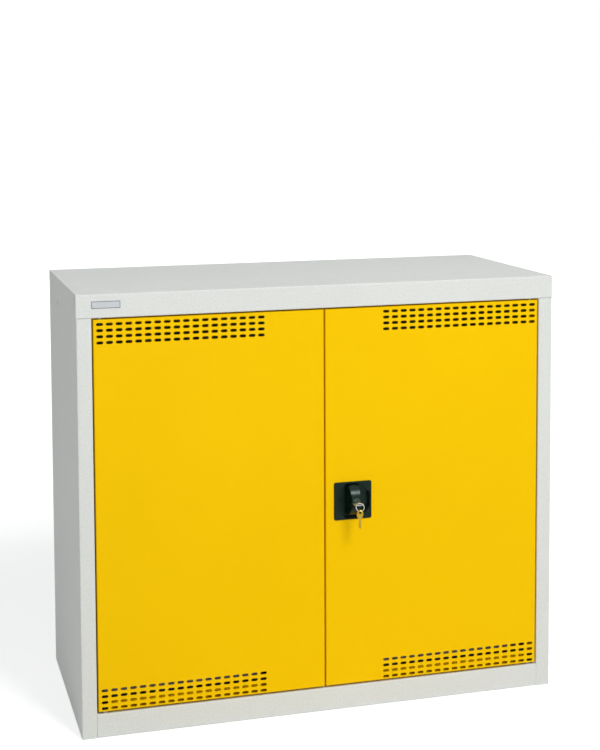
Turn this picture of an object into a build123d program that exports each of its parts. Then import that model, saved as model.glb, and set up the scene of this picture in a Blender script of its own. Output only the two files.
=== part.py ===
from build123d import *
import os
from math import acos, cos, pi, radians, sin, sqrt, tan

# Ventilated double-door steel cabinet.
# Millimetres, +X right, +Y back, +Z up, origin under the middle of the base.

# ---- Carcass
width = 1000.0
depth = 435.0
height = 880.0
sheet = 1.5               # carcass steel
fold_radius = 2.5         # outer radius of a fold in the carcass
stile = 30.0              # face width of each front stile
header = 47.0             # face height of the top cover's front flange
rail = 48.0               # face height of the bottom rail
frame_return = 33.0       # how far the frame folds back behind its face
stop_lip = 10.0           # lip behind the doors, at the header and the rail
stop_lip_inset = 30.0     # how far the lips keep from the stiles
rear_flange = 20.0
rail_foot = 20.0          # return under the bottom rail
base_return = 20.0        # flanges that the cabinet stands on, under its sides and back
vent_hole = 11.0          # round hole high in each side wall
vent_hole_setback = 285.5 # its centre behind the front face
vent_hole_drop = 54.0     # its centre below the top of the cabinet
slot_high = 22.0          # upright slot near the front of each side wall
slot_wide = 5.0
slot_setback = 23.0
slot_drop = 17.0

# ---- Doors
door_sheet = 1.2
door_depth = 30.0
door_fold = 2.0           # outer radius of a fold in a door
door_gap = 3.0            # above and beside a door, and between the two
door_foot_gap = 5.0       # between the doors and the bottom rail
door_lip = 12.0           # inward lip at the back of a door's edges
pivot_inset = 14.0        # pivot axis from the door's outer edge
pivot_setback = 9.0       # pivot axis behind the front face
pin_d = 8.0
running_clearance = 0.05  # radial, for every part that turns in another
hole_clearance = 0.25     # radial, where a fixed part passes a sheet
bush_d = 13.0
bush_length = 14.0
collar_d = 12.0
collar_high = 4.0
thrust_gap = 0.1
stiffener_width = 14.0
stiffener_x = 111.0
stiffener_gap = 1.0       # between the stiffener's open edge and the plane of the door's back

# ---- Ventilation slots, a field of rows and columns at each end of each door
slot_length = 14.0
slot_height = 6.0
slot_end_flats = 3        # flats that make each round end
slot_pitch_x = 19.0
slot_pitch_z = 12.0
slot_columns = 18
slot_rows = 4
slot_side_margin = 12.5   # first column from the door's outer edge
slot_top_margin = 9.0     # first row from the door's top edge
slot_bottom_margin = 5.5  # last row from its bottom edge

# ---- Lock plate and turn handle on the right door
plate_x = 58.8
plate_z = 435.5
plate_width = 80.0
plate_height = 78.0
plate_proud = 2.5
plate_corner = 4.0
recess_across = 72.0      # octagon, across its flats
recess_depth = 12.0
moulding = 2.0            # wall of the moulded plate
handle_rise = 2.0         # handle axis above the plate's centre
grip_length = 66.0
grip_width = 27.0
grip_taper = 8.0          # degrees of draft
grip_crown = 21.0         # grip's middle in front of the plate's rim
grip_end = 4.0            # grip's ends behind the plate's rim
grip_gap = 0.5            # between the grip and the recess floor
spindle_d = 12.0
spindle_socket = 8.0
spindle_square = 9.0
cylinder_d = 17.0
cylinder_length = 22.0
cylinder_proud = 1.5
plug_d = 12.0
plug_length = 19.0
plug_proud = 0.5
plug_end_gap = 0.3

# ---- Rack-and-pinion rods
gear_module = 1.5
pinion_teeth = 16
pressure_angle = 20.0
addendum = 1.35
dedendum = 1.9
backlash = 0.3
gear_thick = 5.0
rod_back = 8.0            # width of a rod behind its teeth, and of a bolt
rod_setback = 18.0        # middle of the rods behind the door's front face
rod_stroke = 18.85        # a quarter turn of the pinion
rod_retreat = 1.0         # rod ends inside the door's edge when withdrawn
rod_clearance = 0.5
case_width = 60.0
case_height = 74.0
case_wall = 2.0
screw_across = 7.0
screw_head = 2.4
screw_inset = 6.0         # screws from the case's edges
guide_offset = 240.0      # rod guides from the handle's axis
guide_width = 18.0
guide_height = 16.0
guide_wall = 3.0

# ---- Slide bolts on the left door
bolt_x = -25.0
bolt_length = 130.0
guide_margin = 30.0       # a bolt's guides from its two ends
bolt_knob_from_end = 65.0 # knob's axis from the bolt's end
bolt_knob_d = 9.0
bolt_knob_high = 12.0
keeper_width = 34.0
keeper_depth = 20.0
keeper_thick = 3.0

# ---- Key in the lock, ring and second key
key_thick = 2.0
key_blade = 8.0
key_slack = 0.3
key_blade_length = 19.0
bow_d = 20.0
bow_neck = 2.0
bow_hole = 5.6
ring_d = 18.0
ring_wire = 1.6
ring_turn = 27.0          # the ring's plane, degrees round the vertical from the door's plane
spare_seat = 0.8
ring_right = 1.0          # ring's axis from the middle of the bow
ring_forward = 7.2
ring_drop = 4.9           # ring's centre below the key's middle
spare_bow_wide = 15.5
spare_bow_high = 19.0
spare_blade = 6.0
spare_length = 39.5
bitting = (1.4, 0.8, 1.7, 1.1)  # depths of the cuts in its edge, from the tip
bitting_pitch = 4.0
bitting_flat = 1.0
bitting_land = 0.6
spare_hole = 7.0
spare_margin = 1.8        # metal above the second key's hole
spare_turn = 42.0         # how far it hangs turned from square to the ring

# ---- Inside
strip_width = 20.0
strip_depth = 12.0
strip_thick = 1.5
strip_inset = 18.0        # front strips behind the shelves' front edge
strip_rear_inset = 34.5   # rear strips in front of the back panel
strip_slot_wide = 12.0
strip_slot_high = 4.0
strip_pitch = 50.0
strip_bottom = 60.0
strip_top_gap = 12.0
tray_sheet = 1.5
shelf_front_gap = 16.5    # behind the frame's return
shelf_back_gap = 8.0
shelf_side_gap = 2.5
shelf_rim = 28.0
lower_shelf_slot = 4      # which slot of the strips each shelf hangs in
upper_shelf_slot = 9
clip_reach = 18.0
clip_thick = 3.0
clip_tail = 14.0
sump_rim = 60.0
sump_side_gap = 4.0
buffer_size = 7.0
buffer_gap = 0.3
buffer_inner_x = 60.0

# ---- Places worked out from the values above
half_w = width / 2
front_y = -depth / 2
back_y = depth / 2
opening_x = half_w - stile
opening_top = height - header
return_y = front_y + frame_return
lip_y = return_y - sheet
lip_x = opening_x - stop_lip_inset
door_outer = opening_x - door_gap
door_inner = door_gap / 2
door_bottom = rail + door_foot_gap
door_top = opening_top - door_gap
door_skin_y = front_y + door_sheet
door_back_y = front_y + door_depth
pivot_x = door_outer - pivot_inset
pivot_y = front_y + pivot_setback
floor_top = rail - sheet
panel_y = back_y - 2 * sheet
handle_z = plate_z + handle_rise
rim_y = front_y - plate_proud
recess_y = rim_y + recess_depth
plate_rear_y = recess_y + moulding
rod_y = front_y + rod_setback
pitch_r = gear_module * pinion_teeth / 2
rod_line = pitch_r + dedendum
rod_centre = rod_line + rod_back / 2
upper_rod_x = plate_x - rod_centre
lower_rod_x = plate_x + rod_centre
case_rear_y = door_back_y - 0.5
crown_y = rim_y - grip_crown
cylinder_y = crown_y - cylinder_proud
shelf_front_y = return_y + shelf_front_gap
strip_front_y = shelf_front_y + strip_inset
strip_rear_y = panel_y - strip_rear_inset
bow_centre_y = cylinder_y - bow_neck - bow_d / 2


def block(x0, x1, y0, y1, z0, z1):
    """A box between two corners."""
    return Pos((x0 + x1) / 2, (y0 + y1) / 2, (z0 + z1) / 2) * Box(abs(x1 - x0), abs(y1 - y0), abs(z1 - z0))


def along_y(radius, x, z, y0, y1):
    """A round bar along Y."""
    return Pos(x, (y0 + y1) / 2, z) * Rot(90, 0, 0) * Cylinder(radius, abs(y1 - y0))


def along_z(radius, x, y, z0, z1):
    """A round bar along Z."""
    return Pos(x, y, (z0 + z1) / 2) * Cylinder(radius, abs(z1 - z0))


def along_x(radius, y, z, x0, x1):
    """A round bar along X."""
    return Pos((x0 + x1) / 2, y, z) * Rot(0, 90, 0) * Cylinder(radius, abs(x1 - x0))


def front_plane(y, x=0.0, z=0.0):
    """A sketch plane facing forward at depth y, with its X to the right."""
    return Plane(origin=(x, y, z), x_dir=(1, 0, 0), z_dir=(0, -1, 0))


def folded(plane, points, thickness, radius, side, length):
    """Sheet folded along an outline of its outer face, carried along the plane's normal."""
    line = FilletPolyline(*points, radius=radius)
    section = make_face(offset(line, amount=thickness, side=side, kind=Kind.INTERSECTION, closed=True))
    return extrude(plane * section, amount=length)


def obround(long, high):
    """Slot with round ends, each end made of a few flats."""
    radius = high / 2
    points = []
    for side in (1, -1):
        for k in range(slot_end_flats + 1):
            turn = pi * k / slot_end_flats - pi / 2
            points.append((side * (long / 2 - radius + radius * cos(turn)), side * radius * sin(turn)))
    return make_face(Polyline(*points, close=True))


def mirrored(shape):
    """The same piece on the other side of the cabinet."""
    return mirror(shape, about=Plane.YZ)


def save(name, *shapes):
    """One STEP file per node; a node may hold several separate solids."""
    solids = [solid for shape in shapes for solid in shape.solids()]
    export_step(solids[0] if len(solids) == 1 else Compound(children=solids), f"parts/{name}.step")


# ---------------------------------------------------------------- carcass
def side_wall():
    """Left wall, front stile and rear flange, folded from one sheet."""
    outline = [
        (-opening_x, return_y),
        (-opening_x, front_y),
        (-half_w, front_y),
        (-half_w, back_y),
        (-half_w + rear_flange, back_y),
    ]
    wall = folded(Plane.XY, outline, sheet, fold_radius, Side.RIGHT, height - sheet)
    wall -= block(-half_w - 1, -opening_x + 1, front_y - 1, front_y + fold_radius, opening_top, height)
    wall -= block(-half_w + sheet, -opening_x + 1, front_y - 1, return_y + 1, opening_top, height)
    wall -= block(-half_w + sheet, 0, back_y - sheet - 1, back_y + 1, height - rear_flange, height)
    wall -= block(
        -half_w - 1, -half_w + fold_radius, back_y - fold_radius, back_y + 1, height - rear_flange, height
    )
    vent_y = front_y + vent_hole_setback
    wall -= along_x(vent_hole / 2, vent_y, height - vent_hole_drop, -half_w - 1, -half_w + 2 * sheet)
    slot = SlotOverall(slot_high, slot_wide)
    slot_plane = Plane(
        origin=(-half_w - 1, front_y + slot_setback, height - slot_drop), x_dir=(0, 0, 1), z_dir=(1, 0, 0)
    )
    return wall - extrude(slot_plane * slot, amount=4 * sheet)


def keeper_hole(x, z0, z1):
    """Slot that a rod or bolt end enters."""
    half_x = rod_back / 2 + rod_clearance
    half_y = gear_thick / 2 + rod_clearance
    return block(x - half_x, x + half_x, rod_y - half_y, rod_y + half_y, z0, z1)


def top_cover():
    """Top with front flange, door-stop return and rear flange, in one folded sheet."""
    outline = [
        (lip_y, opening_top - stop_lip),
        (lip_y, opening_top),
        (front_y, opening_top),
        (front_y, height),
        (back_y, height),
        (back_y, height - rear_flange),
    ]
    cover = folded(Plane.YZ, outline, sheet, fold_radius, Side.RIGHT, half_w)
    below = opening_top - stop_lip - 1
    over = opening_top + 2 * sheet
    cover -= block(opening_x + sheet, half_w + 1, front_y + sheet, return_y + 1, below, over)
    cover -= block(lip_x, half_w + 1, front_y + fold_radius, return_y + 1, below, opening_top)
    cover -= along_z(pin_d / 2 + hole_clearance, pivot_x, pivot_y, opening_top - 1, opening_top + 2 * sheet)
    cover += mirrored(cover)
    for x in (upper_rod_x, bolt_x):
        cover -= keeper_hole(x, opening_top - 1, opening_top + 2 * sheet)
    return cover


def bottom_rail():
    """Front rail between the stiles, with a door-stop return above and a foot below."""
    outline = [
        (front_y + rail_foot, 0),
        (front_y, 0),
        (front_y, rail),
        (lip_y, rail),
        (lip_y, rail + stop_lip),
    ]
    piece = folded(Plane.YZ, outline, sheet, fold_radius, Side.RIGHT, opening_x)
    piece -= block(lip_x, half_w + 1, front_y + fold_radius, return_y + 1, rail, rail + stop_lip + 1)
    piece -= along_z(pin_d / 2 + hole_clearance, pivot_x, pivot_y, rail - 2 * sheet, rail + 1)
    piece += mirrored(piece)
    for x in (lower_rod_x, bolt_x):
        piece -= keeper_hole(x, rail - 2 * sheet, rail + 1)
    return piece


def floor_panel():
    """Floor folded down at its sides and back, with returns that the cabinet stands on."""
    reach = half_w - sheet
    outline = [
        (-reach + base_return, 0),
        (-reach, 0),
        (-reach, floor_top),
        (reach, floor_top),
        (reach, 0),
        (reach - base_return, 0),
    ]
    plane = front_plane(panel_y)
    panel = folded(plane, outline, sheet, fold_radius, Side.RIGHT, panel_y - front_y - fold_radius)
    rear = [(panel_y - base_return, 0), (panel_y, 0), (panel_y, floor_top - sheet)]
    rear_half = reach - fold_radius
    panel += folded(Plane.YZ.offset(-rear_half), rear, sheet, fold_radius, Side.LEFT, 2 * rear_half)
    for side in (-1, 1):
        corner = side * opening_x
        panel -= block(corner, side * half_w, front_y, return_y, 0, rail)
        panel -= along_z(pin_d / 2 + hole_clearance, side * pivot_x, pivot_y, 0, rail)
    for x in (lower_rod_x, bolt_x):
        panel -= keeper_hole(x, 0, rail)
    return panel


def back_panel():
    """Flat back, held inside the rear flanges."""
    reach = half_w - fold_radius
    return block(-reach, reach, panel_y, back_y - sheet, 0, height - fold_radius)


def shelf_strip(y):
    """Slotted channel on the left wall that shelf clips hook into."""
    wall_x = -half_w + sheet
    outline = [
        (wall_x, y - strip_width / 2),
        (wall_x + strip_depth, y - strip_width / 2),
        (wall_x + strip_depth, y + strip_width / 2),
        (wall_x, y + strip_width / 2),
    ]
    length = opening_top - strip_top_gap - strip_bottom
    strip = folded(Plane.XY.offset(strip_bottom), outline, strip_thick, strip_thick, Side.LEFT, length)
    count = int((length - strip_pitch / 2) // strip_pitch)
    for k in range(count):
        z = strip_slot(k)
        strip -= block(
            wall_x + strip_depth - 2 * strip_thick, wall_x + strip_depth + 1,
            y - strip_slot_wide / 2, y + strip_slot_wide / 2,
            z - strip_slot_high / 2, z + strip_slot_high / 2,
        )
    return strip


def strip_slot(k):
    """Height of the middle of a strip's slot."""
    return strip_bottom + (k + 1) * strip_pitch - strip_pitch / 2


def shelf_clips(k):
    """Four clips hooked into the strips at one height."""
    face_x = -half_w + sheet + strip_depth
    slack = (strip_slot_high - clip_thick) / 2
    z0 = strip_slot(k) - strip_slot_high / 2
    profile = [
        (face_x - strip_thick - 3, z0),
        (face_x, z0),
        (face_x, z0 - clip_tail),
        (face_x + clip_thick, z0 - clip_tail),
        (face_x + clip_reach, z0),
        (face_x + clip_reach, z0 + clip_thick),
        (face_x - strip_thick - 3, z0 + clip_thick),
    ]
    clips = []
    for y in (strip_front_y, strip_rear_y):
        half = strip_slot_wide / 2 - slack
        plane = Plane(origin=(0, y + half, 0), x_dir=(1, 0, 0), z_dir=(0, -1, 0))
        clip = extrude(plane * make_face(Polyline(*profile, close=True)), amount=2 * half)
        clips += [clip, mirrored(clip)]
    return clips


def tray(reach, y0, y1, z, rim):
    """Open tray folded up at its four edges."""
    outer = block(-reach, reach, y0, y1, z, z + rim)
    wall = tray_sheet
    return outer - block(wall - reach, reach - wall, y0 + wall, y1 - wall, z + wall, z + rim + 1)


def shelf(k):
    """Lift-out tray shelf, standing on its four clips."""
    reach = half_w - sheet - strip_depth - shelf_side_gap
    z = strip_slot(k) - strip_slot_high / 2 + clip_thick
    return tray(reach, shelf_front_y, panel_y - shelf_back_gap, z, shelf_rim)


def sump_tray():
    """Leak tray on the floor."""
    reach = half_w - sheet - strip_depth - sump_side_gap
    return tray(reach, shelf_front_y, panel_y - shelf_back_gap, floor_top, sump_rim)


def hinge_pins(upper):
    """Pivot pins of both doors at the header or at the rail, each with its collar."""
    pins = []
    for x in (-pivot_x, pivot_x):
        if upper:
            pin = along_z(pin_d / 2, x, pivot_y, door_top - bush_length, opening_top + sheet + collar_high)
            pin += along_z(collar_d / 2, x, pivot_y, opening_top + sheet, opening_top + sheet + collar_high)
        else:
            pin = along_z(pin_d / 2, x, pivot_y, floor_top - sheet - collar_high, door_bottom + bush_length)
            pin += along_z(collar_d / 2, x, pivot_y, rail, door_bottom - thrust_gap)
            pin += along_z(collar_d / 2, x, pivot_y, floor_top - sheet - collar_high, floor_top - sheet)
        pins.append(pin)
    return pins


def keeper_plates():
    """Thick plates behind the thin returns, where rods and bolts enter."""
    plates = []
    for x, z in ((upper_rod_x, opening_top + sheet), (bolt_x, opening_top + sheet)):
        plates.append(keeper_plate(x, z) - keeper_hole(x, z - 1, z + keeper_thick + 1))
    under_floor = floor_top - sheet - keeper_thick
    for x in (lower_rod_x, bolt_x):
        hole = keeper_hole(x, under_floor - 1, under_floor + keeper_thick + 1)
        plates.append(keeper_plate(x, under_floor) - hole)
    return plates


def keeper_plate(x, z):
    """A keeper plate before its slot is cut."""
    half = keeper_width / 2
    return block(x - half, x + half, rod_y - keeper_depth / 2, rod_y + keeper_depth / 2, z, z + keeper_thick)


def door_buffers():
    """Rubber pads on the stop lips, just behind the closed doors."""
    pads = []
    pad_y = door_back_y + buffer_gap
    tip = stop_lip - buffer_size / 2
    for z in (opening_top - tip, rail + tip):
        for x in (-lip_x + buffer_size, -buffer_inner_x, buffer_inner_x, lip_x - buffer_size):
            half = buffer_size / 2
            pads.append(block(x - half, x + half, pad_y, lip_y, z - half, z + half))
    return pads


# ---------------------------------------------------------------- doors
def door_panel(side):
    """Folded pan with perforated fields; side is -1 for the left door and 1 for the right."""
    x0, x1 = sorted((side * door_outer, side * door_inner))
    outline = [
        (x0 + door_lip, door_back_y),
        (x0, door_back_y),
        (x0, front_y),
        (x1, front_y),
        (x1, door_back_y),
        (x1 - door_lip, door_back_y),
    ]
    tall = door_top - door_bottom
    pan = folded(Plane.XY.offset(door_bottom), outline, door_sheet, door_fold, Side.LEFT, tall)
    for edge, inward in ((door_bottom, 1), (door_top, -1)):
        end_outline = [
            (door_skin_y, edge),
            (door_back_y, edge),
            (door_back_y, edge + inward * door_lip),
        ]
        end_side = Side.LEFT if inward > 0 else Side.RIGHT
        end_plane = Plane.YZ.offset(x0 + door_sheet)
        pan += folded(end_plane, end_outline, door_sheet, door_fold, end_side, x1 - x0 - 2 * door_sheet)
    grid = GridLocations(slot_pitch_x, slot_pitch_z, slot_columns, slot_rows)
    field = Sketch() + grid * obround(slot_length, slot_height)
    field_x = side * (door_outer - slot_side_margin - slot_pitch_x * (slot_columns - 1) / 2)
    half_field = slot_pitch_z * (slot_rows - 1) / 2
    for field_z in (door_bottom + slot_bottom_margin + half_field, door_top - slot_top_margin - half_field):
        plane = Plane(origin=(field_x, front_y - 1, field_z), x_dir=(1, 0, 0), z_dir=(0, 1, 0))
        pan -= extrude(plane * field, amount=2 * door_sheet)
    for edge in (door_bottom, door_top):
        z0, z1 = edge - 2 * door_sheet, edge + 2 * door_sheet
        pan -= along_z(pin_d / 2 + 2 * hole_clearance, side * pivot_x, pivot_y, z0, z1)
    return pan


def left_door_panel():
    """Left pan, with the slots that its bolts leave by."""
    pan = door_panel(-1)
    pan -= keeper_hole(bolt_x, door_bottom - 1, door_bottom + 2 * door_sheet)
    pan -= keeper_hole(bolt_x, door_top - 2 * door_sheet, door_top + 1)
    return pan


def octagon(across):
    """Regular octagon with flats at top, bottom and sides."""
    return Rot(0, 0, 22.5) * RegularPolygon(across / 2, 8, major_radius=False)


def right_door_panel():
    """Right pan, cut for the lock plate and the rods."""
    pan = door_panel(1)
    hole = octagon(recess_across + 2 * moulding + 2 * hole_clearance)
    pan -= extrude(front_plane(door_skin_y + 1, plate_x, plate_z) * hole, amount=door_sheet + 2)
    pan -= keeper_hole(lower_rod_x, door_bottom - 1, door_bottom + 2 * door_sheet)
    pan -= keeper_hole(upper_rod_x, door_top - 2 * door_sheet, door_top + 1)
    return pan


def stiffener(side):
    """Channel up the middle of a door, from its lower edge to its upper one."""
    x0 = side * stiffener_x - stiffener_width / 2
    outline = [
        (x0, door_back_y - stiffener_gap),
        (x0, door_skin_y),
        (x0 + stiffener_width, door_skin_y),
        (x0 + stiffener_width, door_back_y - stiffener_gap),
    ]
    z0 = door_bottom + door_lip
    return folded(Plane.XY.offset(z0), outline, door_sheet, door_fold, Side.LEFT, door_top - door_lip - z0)


def hinge_bushes(side):
    """Plain sleeves inside the door's upper and lower edges."""
    bushes = []
    x = side * pivot_x
    for z0 in (door_bottom + door_sheet, door_top - door_sheet - bush_length):
        z1 = z0 + bush_length
        bore = along_z(pin_d / 2 + running_clearance, x, pivot_y, z0 - 1, z1 + 1)
        bushes.append(along_z(bush_d / 2, x, pivot_y, z0, z1) - bore)
    return bushes


def rod_guide(x, z):
    """Moulded block on the door's skin with a slot for a rod or bolt."""
    half = guide_width / 2
    rear_y = rod_y + gear_thick / 2 + guide_wall
    guide = block(x - half, x + half, door_skin_y, rear_y, z - guide_height / 2, z + guide_height / 2)
    return guide - keeper_hole(x, z - guide_height, z + guide_height)


def left_bolt_guides():
    """Two guides for each of the left door's slide bolts."""
    guides = []
    for end, inward in ((door_top, -1), (door_bottom, 1)):
        for step in (guide_margin, bolt_length - guide_margin):
            guides.append(rod_guide(bolt_x, end + inward * step))
    return guides


def left_bolt(end, inward):
    """Flat slide bolt with a round knob behind it."""
    z0 = end + inward * rod_retreat
    z1 = z0 + inward * bolt_length
    knob_z = z0 + inward * bolt_knob_from_end
    bar = block(
        bolt_x - rod_back / 2, bolt_x + rod_back / 2, rod_y - gear_thick / 2, rod_y + gear_thick / 2,
        min(z0, z1), max(z0, z1),
    )
    knob_y = rod_y + gear_thick / 2
    knob = along_y(bolt_knob_d / 2, bolt_x, knob_z, knob_y, knob_y + bolt_knob_high)
    return bar + knob


# ---------------------------------------------------------------- lock plate, handle and rods
def handle_plate():
    """Moulded plate with an octagonal recess for the turn handle."""
    plate = extrude(
        front_plane(front_y, plate_x, plate_z) * RectangleRounded(plate_width, plate_height, plate_corner),
        amount=plate_proud,
    )
    plate = chamfer(plate.faces().sort_by(Axis.Y)[0].edges(), 1.0)
    plate += extrude(
        front_plane(plate_rear_y, plate_x, plate_z) * octagon(recess_across + 2 * moulding),
        amount=plate_rear_y - front_y,
    )
    recess = front_plane(recess_y, plate_x, plate_z) * octagon(recess_across)
    plate -= extrude(recess, amount=recess_depth + 1)
    bore_r = spindle_d / 2 + running_clearance
    return plate - along_y(bore_r, plate_x, handle_z, recess_y - 1, plate_rear_y + 1)


def lock_case():
    """Pressed case behind the plate, round the pinion and racks."""
    x0, x1 = plate_x - case_width / 2, plate_x + case_width / 2
    z0, z1 = handle_z - case_height / 2, handle_z + case_height / 2
    case = block(x0, x1, plate_rear_y, case_rear_y, z0, z1)
    case -= block(
        x0 + case_wall, x1 - case_wall, plate_rear_y - 1, case_rear_y - case_wall,
        z0 + case_wall, z1 - case_wall,
    )
    case -= keeper_hole(upper_rod_x, handle_z, handle_z + case_height)
    return case - keeper_hole(lower_rod_x, handle_z - case_height, handle_z)


def case_screws():
    """Four screws through the case's corners into the plate's bosses."""
    screws = []
    for sx in (-1, 1):
        for sz in (-1, 1):
            x = plate_x + sx * (case_width / 2 - screw_inset)
            z = handle_z + sz * (case_height / 2 - screw_inset)
            hexagon = RegularPolygon(screw_across / 2, 6, major_radius=False)
            screws.append(extrude(front_plane(case_rear_y + screw_head, x, z) * hexagon, amount=screw_head))
    return screws


def turn_handle():
    """Arched grip with draft on every side and a socket for the spindle."""
    base_y = recess_y - grip_gap
    half = grip_length / 2
    slab = Rectangle(grip_width, grip_length + 2)
    plan = Circle(half) & slab
    base = front_plane(base_y, plate_x, handle_z)
    body = extrude(base * plan, amount=base_y - crown_y + 1, taper=grip_taper)
    arch = make_face(
        Line((base_y + 1, -half - 1), (rim_y + grip_end, -half - 1))
        + ThreePointArc((rim_y + grip_end, -half - 1), (crown_y, 0), (rim_y + grip_end, half + 1))
        + Line((rim_y + grip_end, half + 1), (base_y + 1, half + 1))
        + Line((base_y + 1, half + 1), (base_y + 1, -half - 1))
    )
    side_plane = Plane(origin=(plate_x - grip_width, 0, handle_z), x_dir=(0, 1, 0), z_dir=(1, 0, 0))
    grip = body & extrude(side_plane * arch, amount=2 * grip_width)
    grip -= along_y(spindle_d / 2 + hole_clearance, plate_x, handle_z, base_y - spindle_socket, base_y + 1)
    bore_r = cylinder_d / 2 + hole_clearance
    return grip - along_y(bore_r, plate_x, handle_z, crown_y - 1, cylinder_y + cylinder_length)


def spindle():
    """Round shaft through the plate, squared behind it for the pinion."""
    shaft_y = recess_y - grip_gap - spindle_socket
    square_end = rod_y + gear_thick / 2
    shaft = along_y(spindle_d / 2, plate_x, handle_z, shaft_y, rod_y - gear_thick / 2)
    half = spindle_square / 2
    return shaft + block(
        plate_x - half, plate_x + half, rod_y - gear_thick / 2, square_end, handle_z - half, handle_z + half
    )


def involute_flank(base_r, from_r, to_r, steps=4):
    """Angle and radius along an involute, from its base circle."""
    points = []
    for k in range(steps + 1):
        r = from_r + (to_r - from_r) * k / steps
        spread = acos(min(1.0, base_r / r))
        points.append((tan(spread) - spread, r))
    return points


def pinion():
    """Sixteen-tooth pinion with a square hole."""
    base_r = pitch_r * cos(radians(pressure_angle))
    tip_r = pitch_r + addendum
    root_r = pitch_r - dedendum
    angle_at_pitch = tan(radians(pressure_angle)) - radians(pressure_angle)
    half_tooth = (pi * gear_module / 2 - backlash / 2) / 2 / pitch_r
    flank = [(root_r, half_tooth + angle_at_pitch)]
    flank += [(r, half_tooth + angle_at_pitch - a) for a, r in involute_flank(base_r, base_r, tip_r)]
    outline = []
    for tooth in range(pinion_teeth):
        middle = 2 * pi * tooth / pinion_teeth
        outline += [(r * cos(middle - a), r * sin(middle - a)) for r, a in flank]
        outline += [(r * cos(middle + a), r * sin(middle + a)) for r, a in reversed(flank)]
    blank = make_face(Polyline(*outline, close=True)) - Rectangle(spindle_square + 0.2, spindle_square + 0.2)
    return extrude(front_plane(rod_y + gear_thick / 2, plate_x, handle_z) * blank, amount=gear_thick)


def rod(side):
    """Rack and rod in one flat bar: side is -1 for the upper rod and 1 for the lower one."""
    pitch = pi * gear_module
    half_tooth = (pitch / 2 - backlash / 2) / 2
    slope = tan(radians(pressure_angle))
    teeth = int((rod_stroke + 1.5 * pitch) // pitch) + 1
    root_x = side * rod_line
    tip_x = side * (pitch_r - addendum)
    outline = []
    for k in range(-2, teeth):
        middle = side * (k + 0.5) * pitch
        root_half = half_tooth + dedendum * slope
        tip_half = half_tooth - addendum * slope
        outline.append((root_x, middle - side * root_half))
        outline.append((tip_x, middle - side * tip_half))
        outline.append((tip_x, middle + side * tip_half))
        outline.append((root_x, middle + side * root_half))
    inner_end = side * (teeth + 0.1) * pitch
    outer_end = (door_top - rod_retreat if side < 0 else door_bottom + rod_retreat) - handle_z
    back_x = side * (rod_line + rod_back)
    outline = [(root_x, outer_end)] + outline
    outline += [(root_x, inner_end), (back_x, inner_end), (back_x, outer_end)]
    bar = make_face(Polyline(*outline, close=True))
    return extrude(front_plane(rod_y + gear_thick / 2, plate_x, handle_z) * bar, amount=gear_thick)


def rod_guides():
    """One guide for each rod, half-way to its end."""
    return [rod_guide(upper_rod_x, handle_z + guide_offset), rod_guide(lower_rod_x, handle_z - guide_offset)]


def pinion_screw():
    """Button-head screw that holds the pinion on the spindle."""
    y0 = rod_y + gear_thick / 2
    return along_y(7.0, plate_x, handle_z, y0, y0 + 2.5)


def lock_cylinder():
    """Barrel set into the grip's crown, bored for the plug."""
    barrel = along_y(cylinder_d / 2, plate_x, handle_z, cylinder_y, cylinder_y + cylinder_length)
    bore_end = cylinder_y - plug_proud + plug_length + plug_end_gap
    return barrel - along_y(plug_d / 2 + running_clearance, plate_x, handle_z, cylinder_y - 1, bore_end)


def lock_plug():
    """Turning plug with the keyway across it."""
    plug_y = cylinder_y - plug_proud
    plug = along_y(plug_d / 2, plate_x, handle_z, plug_y, plug_y + plug_length)
    half = key_blade / 2 + key_slack
    thick = key_thick / 2 + key_slack
    keyway_end = cylinder_y + key_blade_length - 1
    return plug - block(
        plate_x - half, plate_x + half, cylinder_y - 1, keyway_end, handle_z - thick, handle_z + thick
    )


def key():
    """Key in the plug: flat blade and a round bow lying level."""
    blade_end = cylinder_y + key_blade_length - 2
    outline = Pos(plate_x, bow_centre_y) * Circle(bow_d / 2)
    outline += Pos(plate_x, (bow_centre_y + blade_end) / 2) * Rectangle(key_blade, blade_end - bow_centre_y)
    outline -= Pos(*ring_hole()) * Circle(bow_hole / 2)
    return extrude(Plane.XY.offset(handle_z - key_thick / 2) * outline, amount=key_thick)


def ring_centre():
    """Centre of the hanging ring, its top just clear of the bow."""
    return (plate_x + ring_right, bow_centre_y - ring_forward, handle_z - ring_drop)


def ring_branch():
    """Half the distance between the two wires where the ring passes the bow."""
    mean_r = (ring_d - ring_wire) / 2
    return sqrt(mean_r**2 - ring_drop**2)


def ring_hole():
    """Hole in the bow, where the ring goes down through it."""
    x, y, z = ring_centre()
    turn = radians(ring_turn)
    return x - ring_branch() * cos(turn), y + ring_branch() * sin(turn)


def key_ring():
    """Round wire ring hanging from the bow."""
    x, y, z = ring_centre()
    section = Plane.XZ * Pos((ring_d - ring_wire) / 2, 0) * RegularPolygon(ring_wire / 2, 6)
    return Pos(x, y, z) * Rot(0, 0, -ring_turn) * Rot(90, 0, 0) * revolve(section, axis=Axis.Z)


def bitted_blade(wide, top, tip):
    """Blade with a pointed tip and cuts along one edge."""
    half = wide / 2
    outline = [(half, top), (-half, top), (-half, tip + half), (0, tip), (half, tip + half)]
    slope = (bitting_pitch - bitting_flat - bitting_land) / 2
    for k, depth in enumerate(bitting):
        middle = tip + half + (k + 0.5) * bitting_pitch
        for step, cut in ((-slope, 0), (0, depth), (bitting_flat, depth), (bitting_flat + slope, 0)):
            outline.append((half - cut, middle - bitting_flat / 2 + step))
    return make_face(Polyline(*outline, close=True))


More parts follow.
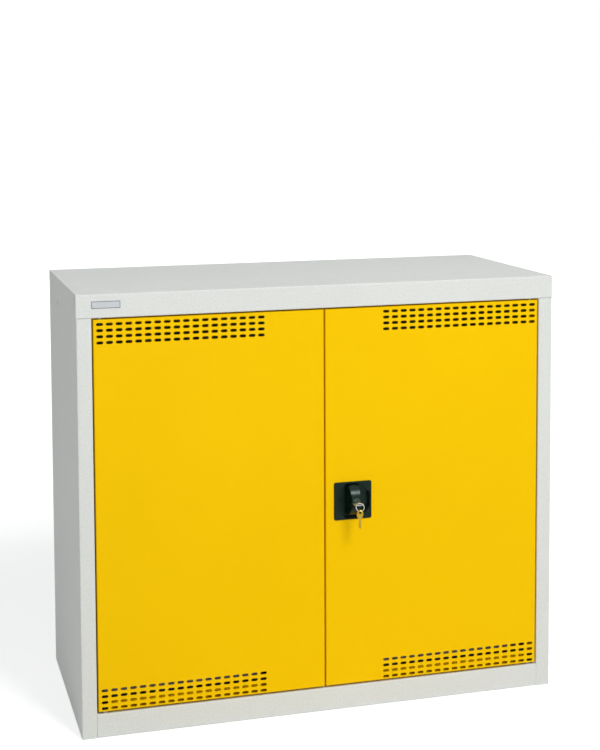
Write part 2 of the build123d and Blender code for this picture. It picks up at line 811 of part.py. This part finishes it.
def spare_key():
    """Second key, hanging from the bottom of the ring."""
    x, y, z = ring_centre()
    wire_low = -(ring_d - ring_wire) / 2
    hole_low = wire_low + ring_wire / 2 + spare_seat - spare_hole / 2
    bow_low = hole_low + spare_hole / 2 + spare_margin - spare_bow_high / 2
    tip_low = bow_low + spare_bow_high / 2 - spare_length
    outline = Pos(0, bow_low) * Ellipse(spare_bow_wide / 2, spare_bow_high / 2)
    outline += bitted_blade(spare_blade, bow_low, tip_low)
    outline -= Pos(0, hole_low) * Circle(spare_hole / 2)
    facing = radians(ring_turn + spare_turn)
    plane = Plane(origin=(x, y, z), x_dir=(sin(facing), cos(facing), 0), z_dir=(cos(facing), -sin(facing), 0))
    return extrude(plane * outline, amount=key_thick / 2, both=True)


os.makedirs("parts", exist_ok=True)

save("side_wall_left", side_wall())
save("side_wall_right", mirrored(side_wall()))
save("top_cover", top_cover())
save("bottom_rail", bottom_rail())
save("floor_panel", floor_panel())
save("back_panel", back_panel())
for place, strip_y in (("front", strip_front_y), ("rear", strip_rear_y)):
    save(f"shelf_strip_{place}_left", shelf_strip(strip_y))
    save(f"shelf_strip_{place}_right", mirrored(shelf_strip(strip_y)))
for level, slot_number in (("lower", lower_shelf_slot), ("upper", upper_shelf_slot)):
    save(f"shelf_{level}", shelf(slot_number))
    save(f"shelf_clips_{level}", *shelf_clips(slot_number))
save("sump_tray", sump_tray())
save("hinge_pins_upper", *hinge_pins(True))
save("hinge_pins_lower", *hinge_pins(False))
save("keeper_plates", *keeper_plates())
save("door_buffers", *door_buffers())

save("left_door_panel", left_door_panel())
save("left_door_stiffener", stiffener(-1))
save("left_door_bushes", *hinge_bushes(-1))
save("left_bolt_guides", *left_bolt_guides())
save("left_upper_bolt", left_bolt(door_top, -1))
save("left_lower_bolt", left_bolt(door_bottom, 1))

save("right_door_panel", right_door_panel())
save("right_door_stiffener", stiffener(1))
save("right_door_bushes", *hinge_bushes(1))
save("handle_plate", handle_plate())
save("lock_case", lock_case())
save("lock_case_screws", *case_screws())
save("rod_guides", *rod_guides())

save("turn_handle", turn_handle())
save("handle_spindle", spindle())
save("drive_pinion", pinion())
save("pinion_screw", pinion_screw())
save("upper_rod", rod(-1))
save("lower_rod", rod(1))
save("lock_cylinder", lock_cylinder())
save("lock_plug", lock_plug())
save("key", key())
save("key_ring", key_ring())
save("spare_key", spare_key())
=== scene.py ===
# Dressed scene of the ventilated double-door cabinet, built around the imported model.
# Lengths are in metres, colours are linear unless linear() turns them from screen values.
import math
import bmesh
import bpy
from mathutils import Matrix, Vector


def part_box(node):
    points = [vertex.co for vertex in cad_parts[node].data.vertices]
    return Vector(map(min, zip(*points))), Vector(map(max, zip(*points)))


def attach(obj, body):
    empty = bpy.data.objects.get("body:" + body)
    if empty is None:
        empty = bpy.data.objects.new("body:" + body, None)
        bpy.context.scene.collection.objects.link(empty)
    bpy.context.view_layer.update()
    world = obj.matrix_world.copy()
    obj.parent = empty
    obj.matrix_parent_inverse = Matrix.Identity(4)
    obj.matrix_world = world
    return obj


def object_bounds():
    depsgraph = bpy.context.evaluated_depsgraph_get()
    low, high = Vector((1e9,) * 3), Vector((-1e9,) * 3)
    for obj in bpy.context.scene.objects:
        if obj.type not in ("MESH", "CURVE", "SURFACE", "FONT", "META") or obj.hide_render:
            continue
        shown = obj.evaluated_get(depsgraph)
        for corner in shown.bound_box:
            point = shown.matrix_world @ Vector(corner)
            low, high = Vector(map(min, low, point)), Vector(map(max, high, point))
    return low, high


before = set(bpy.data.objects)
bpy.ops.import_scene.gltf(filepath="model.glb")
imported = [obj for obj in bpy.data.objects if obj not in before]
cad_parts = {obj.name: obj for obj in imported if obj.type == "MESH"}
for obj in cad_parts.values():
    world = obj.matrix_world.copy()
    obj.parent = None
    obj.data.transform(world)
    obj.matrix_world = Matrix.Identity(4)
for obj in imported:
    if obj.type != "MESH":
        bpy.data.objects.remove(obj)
cad_low, cad_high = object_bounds()
scene = bpy.context.scene
scene.view_settings.view_transform = "Standard"

# ---------------------------------------------------------------- named values

NOISE_LOW = 0.3           # most of a noise texture's values lie between these
NOISE_HIGH = 0.7

COAT_DARKER = -0.018      # a powder coat's drifts of tone, as shares of its colour
COAT_LIGHTER = 0.012
COAT_GLOSS_SWING = 0.035  # how far its roughness goes either way
METAL_GLOSS_SWING = 0.06

PLATE_LEFT = 0.0300       # from the cabinet's left side
PLATE_DROP = 0.0140       # its top edge below the top of the cabinet
PLATE_WIDE = 0.0565
PLATE_HIGH = 0.0140
PLATE_THICK = 0.0009
PLATE_EDGE = 0.3 * PLATE_THICK      # bevel round the rim's outside
PLATE_CORNER = 0.0012
PLATE_LEAST_CORNER = 0.0002
PLATE_RIM = 0.0009        # width of the raised rim
PLATE_SUNK = 0.0003       # field behind the rim

FLOOR_REACH = 14.0        # half the side of the floor's square
GLOW_FROM = 1.0           # distance from the middle at which the floor starts to clear to white
GLOW_TO = 4.0
GLOW_NEAR = 0.54          # what the floor adds to its own light, in the camera's eye only
GLOW_FAR = 0.90

SKY_LEVEL = 0.372
SKY_TINT = (0.965, 1.0, 0.985, 1)
WHITE = (1, 1, 1, 1)

EYE_PLACE = (-0.859, -2.959, 1.2505)
EYE_TURN = (85.80, 0.354, -15.02)   # degrees about x, y and z
EYE_LENS = 69.1                     # focal length in mm
EYE_SENSOR = 36                     # in mm, along the picture's longer side
EYE_SHIFT = (0.0481, -0.2254)       # across and up, as shares of the picture's longer side


# ---------------------------------------------------------------- node helpers

def linear(r, g, b):
    """A screen colour given from 0 to 255 as the linear values a shader takes."""
    out = []
    for value in (r, g, b):
        c = value / 255
        out.append(c / 12.92 if c <= 0.04045 else ((c + 0.055) / 1.055) ** 2.4)
    return (*out, 1.0)


def shade(colour, amount):
    """The colour made lighter or darker by a share of itself."""
    return (*[min(1.0, c * (1 + amount)) for c in colour[:3]], 1.0)


class Tree:
    """A material's node tree, with short calls for the nodes the finishes share."""

    def __init__(self, name):
        self.material = bpy.data.materials.new(name)
        self.material.use_nodes = True
        self.nodes = self.material.node_tree.nodes
        self.links = self.material.node_tree.links
        self.nodes.clear()
        self.place = self.add("ShaderNodeTexCoord").outputs["Object"]
        self.shader = self.add("ShaderNodeBsdfPrincipled")
        self.out = self.add("ShaderNodeOutputMaterial")
        self.join(self.shader.outputs[0], self.out.inputs["Surface"])

    def add(self, kind, **values):
        """A new node with its settings."""
        node = self.nodes.new(kind)
        for key, value in values.items():
            setattr(node, key, value)
        return node

    def join(self, a, b):
        """Links an output to an input."""
        self.links.new(a, b)

    def stretched(self, x, y, z):
        """Object space scaled along each axis."""
        node = self.add("ShaderNodeMapping")
        self.join(self.place, node.inputs["Vector"])
        node.inputs["Scale"].default_value = (x, y, z)
        return node.outputs["Vector"]

    def noise(self, scale, detail=2.0, roughness=0.5, where=None):
        """Noise in object space, or in the space given by where."""
        node = self.add("ShaderNodeTexNoise")
        self.join(where or self.place, node.inputs["Vector"])
        node.inputs["Scale"].default_value = scale
        node.inputs["Detail"].default_value = detail
        node.inputs["Roughness"].default_value = roughness
        return node.outputs["Fac"]

    def cells(self, scale):
        """Cells that each have a colour of their own."""
        node = self.add("ShaderNodeTexVoronoi")
        self.join(self.place, node.inputs["Vector"])
        node.inputs["Scale"].default_value = scale
        return node.outputs["Color"]

    def spread(self, value, low, high, start=NOISE_LOW, end=NOISE_HIGH):
        """Maps the stretch from start to end onto the one from low to high."""
        node = self.add("ShaderNodeMapRange")
        self.join(value, node.inputs["Value"])
        node.inputs["From Min"].default_value = start
        node.inputs["From Max"].default_value = end
        node.inputs["To Min"].default_value = low
        node.inputs["To Max"].default_value = high
        return node.outputs["Result"]

    def blend(self, value, first, second, start=NOISE_LOW, end=NOISE_HIGH):
        """Goes from the first colour to the second as the value goes from start to end."""
        node = self.add("ShaderNodeValToRGB")
        self.join(value, node.inputs["Fac"])
        node.color_ramp.elements[0].position = start
        node.color_ramp.elements[0].color = first
        node.color_ramp.elements[1].position = end
        node.color_ramp.elements[1].color = second
        return node.outputs["Color"]

    def bump(self, height, distance, strength, under=None):
        """A normal roughened by a height, on top of the normal under it."""
        node = self.add("ShaderNodeBump")
        node.inputs["Distance"].default_value = distance
        node.inputs["Strength"].default_value = strength
        self.join(height, node.inputs["Height"])
        if under is not None:
            self.join(under, node.inputs["Normal"])
        return node.outputs["Normal"]

    def fit(self, socket, value):
        """Sets a shader socket to a number or colour, or joins a node's output to it."""
        target = self.shader.inputs[socket]
        if hasattr(value, "links"):
            self.join(value, target)
        else:
            target.default_value = value


# ---------------------------------------------------------------- finishes

def powder_coat(name, colour, rough, gloss, speck=0.0):
    """Sprayed polyester powder: a fine orange peel, faint drifts of tone and, by speck, a grain."""
    t = Tree(name)
    drift = t.noise(scale=3.2, detail=3)
    tone = t.blend(drift, shade(colour, COAT_DARKER), shade(colour, COAT_LIGHTER))
    if speck:
        grain = t.add("ShaderNodeVectorMath", operation="SCALE")
        t.join(tone, grain.inputs["Vector"])
        t.join(t.spread(t.noise(scale=280), 1 - speck, 1 + speck), grain.inputs["Scale"])
        tone = grain.outputs["Vector"]
    t.fit("Base Color", tone)
    sheen = t.noise(scale=46, detail=3)
    t.fit("Roughness", t.spread(sheen, rough - COAT_GLOSS_SWING, rough + COAT_GLOSS_SWING))
    t.fit("Specular IOR Level", gloss)
    peel = t.bump(t.noise(scale=430), distance=0.00012, strength=0.35)
    fine = t.noise(scale=1700, detail=1)
    t.fit("Normal", t.bump(fine, distance=0.00004, strength=0.3, under=peel))
    return t.material


def zinc(name):
    """Zinc-plated sheet: crystal patches that differ in tone, and a grain that varies the gloss."""
    t = Tree(name)
    patch = t.cells(scale=150)
    grain = t.noise(scale=900, detail=3)
    dark, light = (0.27, 0.285, 0.30, 1), (0.39, 0.405, 0.42, 1)
    t.fit("Base Color", t.blend(patch, dark, light, start=0.1, end=0.9))
    t.fit("Metallic", 1.0)
    t.fit("Roughness", t.spread(grain, 0.30, 0.46))
    t.fit("Normal", t.bump(grain, distance=0.00005, strength=0.4))
    return t.material


def moulded_black(name):
    """Black glass-filled plastic with a fine spark-eroded texture and a faint green cast."""
    t = Tree(name)
    dark, light = (0.0015, 0.0105, 0.0065, 1), (0.0030, 0.0155, 0.0100, 1)
    t.fit("Base Color", t.blend(t.noise(scale=60), dark, light))
    t.fit("Roughness", t.spread(t.noise(scale=210, detail=3), 0.18, 0.25))
    t.fit("Specular IOR Level", 0.25)
    t.fit("Specular Tint", (0.84, 1.0, 0.95, 1))
    t.fit("Normal", t.bump(t.noise(scale=2600), distance=0.00008, strength=0.35))
    return t.material


def rubber(name):
    """Matt black rubber."""
    t = Tree(name)
    dark, light = (0.018, 0.018, 0.018, 1), (0.032, 0.031, 0.03, 1)
    t.fit("Base Color", t.blend(t.noise(scale=140, detail=3), dark, light))
    t.fit("Roughness", t.spread(t.noise(scale=400), 0.72, 0.86))
    t.fit("Normal", t.bump(t.noise(scale=900, detail=3), distance=0.0001, strength=0.4))
    return t.material


def metal(name, dark, light, rough, brush, line):
    """Plated or bare metal: fine lines stretched by brush at scale line, and a tone that drifts."""
    t = Tree(name)
    lines = t.noise(scale=line, detail=3, roughness=0.6, where=t.stretched(*brush))
    t.fit("Base Color", t.blend(t.noise(scale=90, detail=3), dark, light))
    t.fit("Metallic", 1.0)
    t.fit("Roughness", t.spread(lines, rough - METAL_GLOSS_SWING, rough + METAL_GLOSS_SWING))
    t.fit("Normal", t.bump(lines, distance=0.00003, strength=0.35))
    return t.material


FINISHES = {
    "body_paint": powder_coat(
        "body_paint_coat", linear(224, 226, 223), rough=0.43, gloss=0.40, speck=0.05
    ),
    "door_paint": powder_coat("door_paint_coat", linear(252, 202, 0), rough=0.44, gloss=0.05),
    "zinc_steel": zinc("zinc_steel_plate"),
    "black_plastic": moulded_black("black_plastic_moulding"),
    "buffer_rubber": rubber("buffer_rubber_moulding"),
    "lock_metal": metal(
        "lock_metal_nickel", dark=(0.055, 0.078, 0.062, 1), light=(0.095, 0.125, 0.105, 1),
        rough=0.26, brush=(1, 0.08, 1), line=1500,
    ),
    "brass": metal(
        "brass_turned", dark=(0.60, 0.38, 0.03, 1), light=(0.80, 0.56, 0.10, 1),
        rough=0.27, brush=(1, 0.1, 1), line=1800,
    ),
    "key_steel": metal(
        "key_steel_nickel", dark=(0.52, 0.56, 0.52, 1), light=(0.66, 0.70, 0.66, 1),
        rough=0.26, brush=(1, 0.06, 1), line=1600,
    ),
    "ring_steel": metal(
        "ring_steel_polished", dark=(0.92, 0.94, 0.93, 1), light=(0.98, 0.98, 0.97, 1),
        rough=0.22, brush=(1, 1, 1), line=900,
    ),
}

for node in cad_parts.values():
    for slot in node.material_slots:
        found = slot.material.name.split(".")[0] if slot.material else ""
        if found in FINISHES:
            slot.material = FINISHES[found]
        else:
            print("no finish for", node.name, found)


# ---------------------------------------------------------------- blank name plate

def rounded(width, height, radius, steps=5):
    """Points round a rectangle with rounded corners, centred on the origin."""
    points = []
    for quarter, (sx, sz) in enumerate(((1, 1), (-1, 1), (-1, -1), (1, -1))):
        for k in range(steps + 1):
            turn = math.radians(90 * (quarter + k / steps))
            points.append((sx * (width / 2 - radius) + radius * math.cos(turn),
                           sz * (height / 2 - radius) + radius * math.sin(turn)))
    return points


def name_plate():
    """Thin anodised plate with a raised rim and an empty field."""
    low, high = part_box("top_cover")
    x = low.x + PLATE_LEFT + PLATE_WIDE / 2
    z = high.z - PLATE_DROP - PLATE_HIGH / 2
    layers = (                          # how far in from the edge, how far out from the header
        (0.0, 0.0),
        (0.0, PLATE_THICK - PLATE_EDGE),
        (PLATE_EDGE, PLATE_THICK),
        (PLATE_RIM, PLATE_THICK),
        (PLATE_RIM + PLATE_SUNK, PLATE_THICK - PLATE_SUNK),
    )
    form = bmesh.new()
    rings = []
    for inset, stand in layers:
        corner = max(PLATE_CORNER - inset, PLATE_LEAST_CORNER)
        outline = rounded(PLATE_WIDE - 2 * inset, PLATE_HIGH - 2 * inset, corner)
        rings.append([form.verts.new((x + px, low.y - stand, z + pz)) for px, pz in outline])
    count = len(rings[0])
    for a, b in zip(rings, rings[1:]):
        for k in range(count):
            form.faces.new((a[k], a[(k + 1) % count], b[(k + 1) % count], b[k]))
    field = form.faces.new(rings[-1])
    field.material_index = 1
    form.faces.new(list(reversed(rings[0])))
    bmesh.ops.recalc_face_normals(form, faces=form.faces)
    mesh = bpy.data.meshes.new("name_plate")
    form.to_mesh(mesh)
    form.free()
    piece = bpy.data.objects.new("name_plate", mesh)
    scene.collection.objects.link(piece)
    mesh.materials.append(metal(
        "name_plate_rim", dark=(0.16, 0.18, 0.21, 1), light=(0.22, 0.24, 0.28, 1),
        rough=0.36, brush=(0.05, 1, 1), line=2400,
    ))
    mesh.materials.append(
        powder_coat("name_plate_field", linear(203, 208, 213), rough=0.36, gloss=0.3)
    )
    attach(piece, "cabinet")


name_plate()


# ---------------------------------------------------------------- floor, light and camera

def studio_floor():
    """White paper that clears to pure white in the camera's eye, and more so further out."""
    mesh = bpy.data.meshes.new("studio_floor")
    form = bmesh.new()
    corners = ((-1, -1), (1, -1), (1, 1), (-1, 1))
    form.faces.new([form.verts.new((FLOOR_REACH * x, FLOOR_REACH * y, 0)) for x, y in corners])
    form.to_mesh(mesh)
    form.free()
    floor = bpy.data.objects.new("studio_floor", mesh)
    scene.collection.objects.link(floor)
    t = Tree("studio_floor_paper")
    t.fit("Base Color", t.blend(t.noise(scale=2.0), linear(238, 238, 238), linear(242, 242, 242)))
    t.fit("Roughness", t.spread(t.noise(scale=30), 0.75, 0.85))
    t.fit("Specular IOR Level", 0.1)
    floor.data.materials.append(t.material)
    glow = t.add("ShaderNodeEmission")
    both = t.add("ShaderNodeAddShader")
    path = t.add("ShaderNodeLightPath")
    away = t.add("ShaderNodeVectorMath", operation="LENGTH")
    t.join(t.place, away.inputs[0])
    reach = t.spread(away.outputs["Value"], GLOW_NEAR, GLOW_FAR, GLOW_FROM, GLOW_TO)
    lift = t.add("ShaderNodeMath", operation="MULTIPLY")
    t.join(path.outputs["Is Camera Ray"], lift.inputs[0])
    t.join(reach, lift.inputs[1])
    t.join(lift.outputs[0], glow.inputs["Strength"])
    t.join(t.shader.outputs[0], both.inputs[0])
    t.join(glow.outputs[0], both.inputs[1])
    t.join(both.outputs[0], t.out.inputs["Surface"])
    return floor


studio_floor()


def studio_world(level):
    """Pure white to camera, mirror and glass rays, and a faintly green sky of this level to the rest."""
    world = bpy.data.worlds.new("studio")
    scene.world = world
    world.use_nodes = True
    nodes = world.node_tree.nodes
    links = world.node_tree.links
    nodes.clear()

    def either(first, second):
        node = nodes.new("ShaderNodeMath")
        node.operation = "MAXIMUM"
        links.new(first, node.inputs[0])
        links.new(second, node.inputs[1])
        return node.outputs[0]

    def background(colour, strength):
        node = nodes.new("ShaderNodeBackground")
        node.inputs["Color"].default_value = colour
        node.inputs["Strength"].default_value = strength
        return node.outputs[0]

    rays = nodes.new("ShaderNodeLightPath").outputs
    seen = either(rays["Is Camera Ray"], rays["Is Glossy Ray"])
    mix = nodes.new("ShaderNodeMixShader")
    links.new(either(seen, rays["Is Transmission Ray"]), mix.inputs[0])
    links.new(background(SKY_TINT, level), mix.inputs[1])
    links.new(background(WHITE, 1.0), mix.inputs[2])
    out = nodes.new("ShaderNodeOutputWorld")
    links.new(mix.outputs[0], out.inputs["Surface"])


def soft_box(name, place, target, size, power):
    """A rectangular lamp at a place, turned to its target, with its power in watts."""
    light = bpy.data.lights.new(name, "AREA")
    light.shape = "RECTANGLE"
    light.size, light.size_y = size
    light.energy = power
    lamp = bpy.data.objects.new(name, light)
    lamp.location = place
    lamp.rotation_euler = (Vector(target) - Vector(place)).to_track_quat("-Z", "Y").to_euler()
    scene.collection.objects.link(lamp)


def photo_view():
    """A camera that sees the cabinet as the photo does."""
    camera = bpy.data.cameras.new("photo_view")
    camera.sensor_width = EYE_SENSOR
    camera.lens = EYE_LENS
    camera.shift_x, camera.shift_y = EYE_SHIFT
    eye = bpy.data.objects.new("photo_view", camera)
    eye.location = EYE_PLACE
    eye.rotation_euler = [math.radians(turn) for turn in EYE_TURN]
    scene.collection.objects.link(eye)
    return eye


studio_world(SKY_LEVEL)
middle = (cad_low + cad_high) / 2
low_left = middle + Vector((-0.5, 0, -0.30))
soft_box("key_softbox", place=(0.92, -3.16, 3.47), target=middle, size=(1.2, 1.4), power=97.2)
soft_box("low_fill", place=(-0.6, -4.6, 0.5), target=middle, size=(3.2, 1.0), power=15.7)
soft_box("left_fill", place=(-3.6, 0.1, 0.30), target=low_left, size=(1.6, 0.4), power=7.6)
scene.camera = photo_view()
